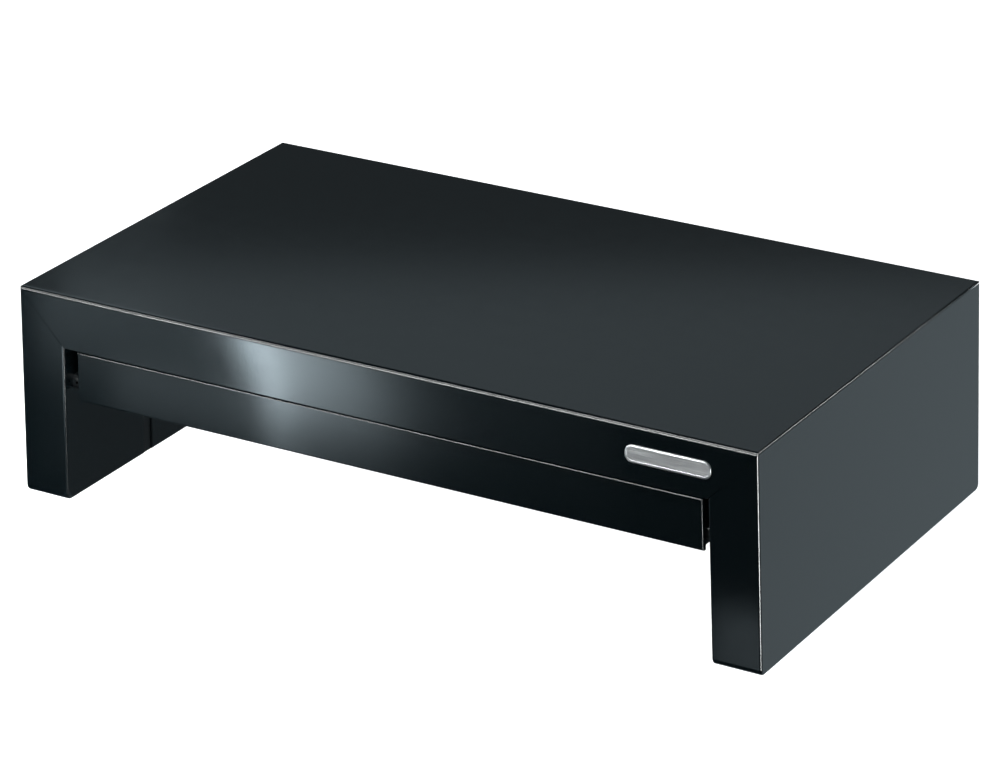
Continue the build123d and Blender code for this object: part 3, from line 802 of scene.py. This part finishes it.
# %% Steps for the room's light
def direction_ramp(tree, axis, low, high, from_value, to_value):
    """A value that goes from one level to another as a ray turns along one axis."""
    place = tree.nodes.new("ShaderNodeTexCoord")
    split = tree.nodes.new("ShaderNodeSeparateXYZ")
    ramp = tree.nodes.new("ShaderNodeMapRange")
    ramp.interpolation_type = "SMOOTHSTEP"
    ramp.inputs["From Min"].default_value = low
    ramp.inputs["From Max"].default_value = high
    ramp.inputs["To Min"].default_value = from_value
    ramp.inputs["To Max"].default_value = to_value
    tree.links.new(place.outputs["Generated"], split.inputs["Vector"])
    tree.links.new(split.outputs[axis], ramp.inputs["Value"])
    return ramp.outputs["Result"]


def combine(tree, operation, a, b):
    """Two values joined by one arithmetic step."""
    node = tree.nodes.new("ShaderNodeMath")
    node.operation = operation
    tree.links.new(a, node.inputs[0])
    tree.links.new(b, node.inputs[1])
    return node.outputs["Value"]


# %% World
ROOM_BACK_LEVEL = 0.62
ROOM_DARK_LEVEL = 0.0
BACK_RANGE = (-0.2, 0.5)     # from front to back, as the Y of the ray's direction
LOW_RANGE = (-0.25, 0.1)     # from low to high, as its Z
world = bpy.data.worlds.new("studio")
bpy.context.scene.world = world
world.use_nodes = True
tree = world.node_tree
background = tree.nodes["Background"]
rays = tree.nodes.new("ShaderNodeLightPath")
tint = tree.nodes.new("ShaderNodeMix")
tint.data_type = "RGBA"
tint.inputs["A"].default_value = (*COOL_LIGHT, 1.0)
tint.inputs["B"].default_value = (1.0, 1.0, 1.0, 1.0)
tree.links.new(rays.outputs["Is Camera Ray"], tint.inputs["Factor"])
tree.links.new(tint.outputs["Result"], background.inputs["Color"])
behind = direction_ramp(tree, "Y", *BACK_RANGE, ROOM_DARK_LEVEL, 1.0)
below = direction_ramp(tree, "Z", *LOW_RANGE, ROOM_BACK_LEVEL, ROOM_DARK_LEVEL)
room = combine(tree, "MULTIPLY", behind, below)
seen = combine(tree, "MAXIMUM", rays.outputs["Is Camera Ray"], room)
tree.links.new(seen, background.inputs["Strength"])
print("room level behind the stand:", ROOM_BACK_LEVEL)

# %% [markdown]
# ## Softboxes
# Each light is a rectangle of even brightness. The number that matters on a glossy black
# surface is that brightness, because the surface shows the light's mirror image, so the helper
# works out the power from it.

# %% Softboxes
def softbox(name, centre, aim, size, radiance, colour=COOL_LIGHT):
    """A rectangular light of a given brightness, aimed at a point. Only its reflection shows."""
    lamp = bpy.data.lights.new(name, "AREA")
    lamp.shape = "RECTANGLE"
    lamp.size, lamp.size_y = size
    lamp.color = colour
    lamp.energy = radiance * size[0] * size[1] * math.pi
    light = bpy.data.objects.new(name, lamp)
    bpy.context.scene.collection.objects.link(light)
    light.location = centre
    light.rotation_euler = (Vector(aim) - Vector(centre)).to_track_quat("-Z", "Y").to_euler()
    light.visible_camera = False
    print(name, "gives", round(lamp.energy, 2), "W")


# %% [markdown]
# The deck mirrors what stands behind it and to the left. A few weak panels there give it a soft
# gradient, lighter towards the front, in place of one flat grey.

# %% Lights behind, for the deck
DECK_MIDDLE = (0.0, -0.05, 0.112)
softbox("far back panel", (-0.95, 1.6, 0.95), DECK_MIDDLE, (1.2, 0.9), 0.10)
softbox("back card", (-0.25, 0.45, 0.42), DECK_MIDDLE, (0.6, 0.20), 0.23)
softbox("back card left low", (-0.70, 0.45, 0.28), DECK_MIDDLE, (0.3, 0.16), 0.26)
softbox("back card left high", (-0.70, 0.45, 0.62), DECK_MIDDLE, (0.3, 0.2), 1.8)
softbox("back card high", (-0.10, 0.45, 0.62), DECK_MIDDLE, (0.3, 0.2), 0.8)

# %% [markdown]
# Seen from any other side, a black stand in a dark room would be a black hole. Large and very weak
# panels stand where those faces look, so that each keeps a tone of its own.

# %% Fill panels for the other sides
MIDDLE = (0.0, 0.0, 0.05)
softbox("fill left", (-1.5, -0.4, -0.35), MIDDLE, (1.6, 0.8), 0.17)
softbox("fill front right", (1.5, -1.6, 0.75), DECK_MIDDLE, (1.6, 1.0), 0.32)
softbox("fill front right low", (1.3, -1.8, -0.85), MIDDLE, (1.4, 0.8), 0.16)
softbox("fill back right", (1.2, 1.7, 0.85), DECK_MIDDLE, (1.6, 1.0), 0.20)
softbox("fill right low", (2.0, -0.45, -0.40), MIDDLE, (1.4, 0.7), 0.22)
softbox("fill left high", (-2.0, -0.30, 0.55), DECK_MIDDLE, (1.4, 0.8), 0.14)

# %% [markdown]
# The fascia shows one soft band: bright at its left edge and fading to the right, as from a tall
# strip beside a reflector. One card does this. Its glow follows a ramp along its width, and gets
# weaker towards its foot, and it leans a little, which leans the band.

# %% Place and profile of the glow card
CARD_Y = -0.317
CARD_X = (-0.35, 0.02)
CARD_Z = (-0.10, 0.04)
CARD_LEAN = 0.42             # metres to the left for each metre up
CARD_LEAN_LOWEST = -0.012    # the band stands upright below this height
BAND_PEAK = 25.0
BAND_PROFILE = (             # place along X, and share of the peak
    (-0.340, 0.040),
    (-0.212, 0.026),
    (-0.2075, 0.05),
    (-0.2040, 1.0),
    (-0.1995, 1.0),
    (-0.1930, 0.46),
    (-0.1780, 0.29),
    (-0.1600, 0.21),
    (-0.1400, 0.15),
    (-0.1220, 0.068),
    (-0.1030, 0.026),
    (-0.0800, 0.0115),
    (-0.0580, 0.0065),
    (0.0100, 0.003),
)
card_width = CARD_X[1] - CARD_X[0]
card_height = CARD_Z[1] - CARD_Z[0]
print("glow card", round(card_width, 3), "by", round(card_height, 3), "m")


# %% A card that glows
def emission_card(name, centre, size):
    """An upright card that glows, seen only in reflections. Returns its node tree and shader."""
    deselect_all()
    bpy.ops.mesh.primitive_plane_add(size=1.0, location=(0, 0, 0))
    card = bpy.context.object
    card.name = name
    card.scale = (size[0], size[1], 1.0)
    card.rotation_euler = (math.radians(-90), 0.0, 0.0)
    card.location = centre
    bpy.ops.object.transform_apply(location=True, rotation=True, scale=True)
    card.visible_camera = False
    card.visible_shadow = False
    paint, shader = new_material(name, (0.0, 0.0, 0.0), 1.0, specular=0.0)
    shader.inputs["Emission Color"].default_value = (*COOL_LIGHT, 1.0)
    card.data.materials.append(paint)
    print(name, "faces", tuple(round(v) for v in card.data.polygons[0].normal))
    return paint.node_tree, shader


card_centre = (sum(CARD_X) / 2, CARD_Y, sum(CARD_Z) / 2)
tree, card_shader = emission_card("glow card", card_centre, (card_width, card_height))

# %% [markdown]
# The ramp is read at a place that moves with height, which leans the band. Below a certain height
# the move stops, so the drawer's share of the band stands upright.

# %% The place along the card, leaning
place = tree.nodes.new("ShaderNodeTexCoord")
split = tree.nodes.new("ShaderNodeSeparateXYZ")
tree.links.new(place.outputs["Object"], split.inputs["Vector"])
height = tree.nodes.new("ShaderNodeMath")
height.operation = "MAXIMUM"
height.inputs[1].default_value = CARD_LEAN_LOWEST
tree.links.new(split.outputs["Z"], height.inputs[0])
lean = tree.nodes.new("ShaderNodeMath")
lean.operation = "MULTIPLY_ADD"
lean.inputs[1].default_value = CARD_LEAN
tree.links.new(height.outputs["Value"], lean.inputs[0])
tree.links.new(split.outputs["X"], lean.inputs[2])
along = tree.nodes.new("ShaderNodeMapRange")
along.inputs["From Min"].default_value = CARD_X[0]
along.inputs["From Max"].default_value = CARD_X[1]
tree.links.new(lean.outputs["Value"], along.inputs["Value"])
print("the band leans by", round(math.degrees(math.atan(CARD_LEAN)), 1), "degrees")

# %% The glow along the card
ramp = tree.nodes.new("ShaderNodeValToRGB")
stops = ramp.color_ramp.elements
for position, level in BAND_PROFILE:
    stop = stops.new((position - CARD_X[0]) / card_width)
    stop.color = (level, level, level, 1.0)
stops.remove(stops[0])
stops.remove(stops[len(stops) - 1])
tree.links.new(along.outputs["Result"], ramp.inputs["Fac"])
print("the band's ramp has", len(stops), "stops")

# %% The foot of the card glows less
FOOT_RANGE = (-0.06, 0.01)
FOOT_SHARE = 0.10
foot = tree.nodes.new("ShaderNodeMapRange")
foot.interpolation_type = "SMOOTHSTEP"
foot.inputs["From Min"].default_value = FOOT_RANGE[0]
foot.inputs["From Max"].default_value = FOOT_RANGE[1]
foot.inputs["To Min"].default_value = FOOT_SHARE * BAND_PEAK
foot.inputs["To Max"].default_value = BAND_PEAK
tree.links.new(split.outputs["Z"], foot.inputs["Value"])
glow = combine(tree, "MULTIPLY", ramp.outputs["Color"], foot.outputs["Result"])
tree.links.new(glow, card_shader.inputs["Emission Strength"])
print("the card's peak is", BAND_PEAK)

# %% [markdown]
# Two more small panels give the soft glow at the foot of the right leg and on the left part of the
# drawer front.

# %% Small glows
softbox("leg glow", (0.12, CARD_Y, -0.10), (0.12, 0.0, -0.10), (0.09, 0.04), 0.75)
CARD_GAP = 0.002             # the panel stands in front of the card
drawer_glow_place = (-0.255, CARD_Y + CARD_GAP, -0.037)
softbox("drawer glow", drawer_glow_place, (-0.255, 0.0, -0.037), (0.095, 0.036), 0.62)

# %% [markdown]
# ## Edges
# What tells the eye that the black shells have crisp, rounded edges is a thin bright line along
# each. A rounded edge mirrors a wide fan of directions, so each line needs its own light, placed
# where that fan meets it. A large bright panel would do, and would also turn the flat deck white
# from some other side. Narrow strips that lie along the edge give the line alone.

# %% Strips of light for the bright edges
WHITE_LIGHT = (0.97, 1.0, 1.0)
FRONT_EDGE_Y = -0.117
EDGE_Z = 0.11
RIGHT_EDGE_X = 0.203


def edge_strip(name, centre, edge_point, size, radiance):
    """A narrow white softbox that lies along an edge."""
    softbox(name, centre, edge_point, size, radiance, WHITE_LIGHT)


above_edge = (-0.24, FRONT_EDGE_Y, EDGE_Z)
above_right_edge = (-0.03, FRONT_EDGE_Y, EDGE_Z)
front_edge = (-0.27, FRONT_EDGE_Y, EDGE_Z)
drawer_edge = (-0.22, FRONT_EDGE_Y, 0.083)
edge_strip("strip above", (-0.24, -0.320, 0.440), above_edge, (0.56, 0.022), 34.0)
edge_strip("strip above right", (-0.03, -0.320, 0.440), above_right_edge, (0.14, 0.022), 140.0)
edge_strip("strip in front", (-0.27, -0.507, 0.288), front_edge, (0.58, 0.022), 60.0)
edge_strip("strip low in front", (-0.22, -0.549, 0.171), drawer_edge, (0.50, 0.018), 80.0)

# %% [markdown]
# The right-hand side has two long edges of its own: the one on top runs away from the camera, and
# the one at the front stands upright. The first mirrors a strip behind it on the right, and the
# second one far off to the right and low down.

# %% Strips for the right-hand side
side_edge = (RIGHT_EDGE_X, 0.55, EDGE_Z)
stand_middle = (0.1, -0.1, 0.05)
edge_strip("strip behind right", (0.627, 0.55, 0.181), side_edge, (0.30, 0.03), 42.0)
edge_strip("far strip right", (4.03, -2.47, -1.79), stand_middle, (0.90, 0.55), 75.0)

# %% [markdown]
# ## Colour
# The Standard view shows each tone as it is worked out. A filmic view would lift the blacks to
# grey and pull the white floor down.

# %% Colour management
view = bpy.context.scene.view_settings
view.view_transform = "Standard"
print("view transform:", view.view_transform)
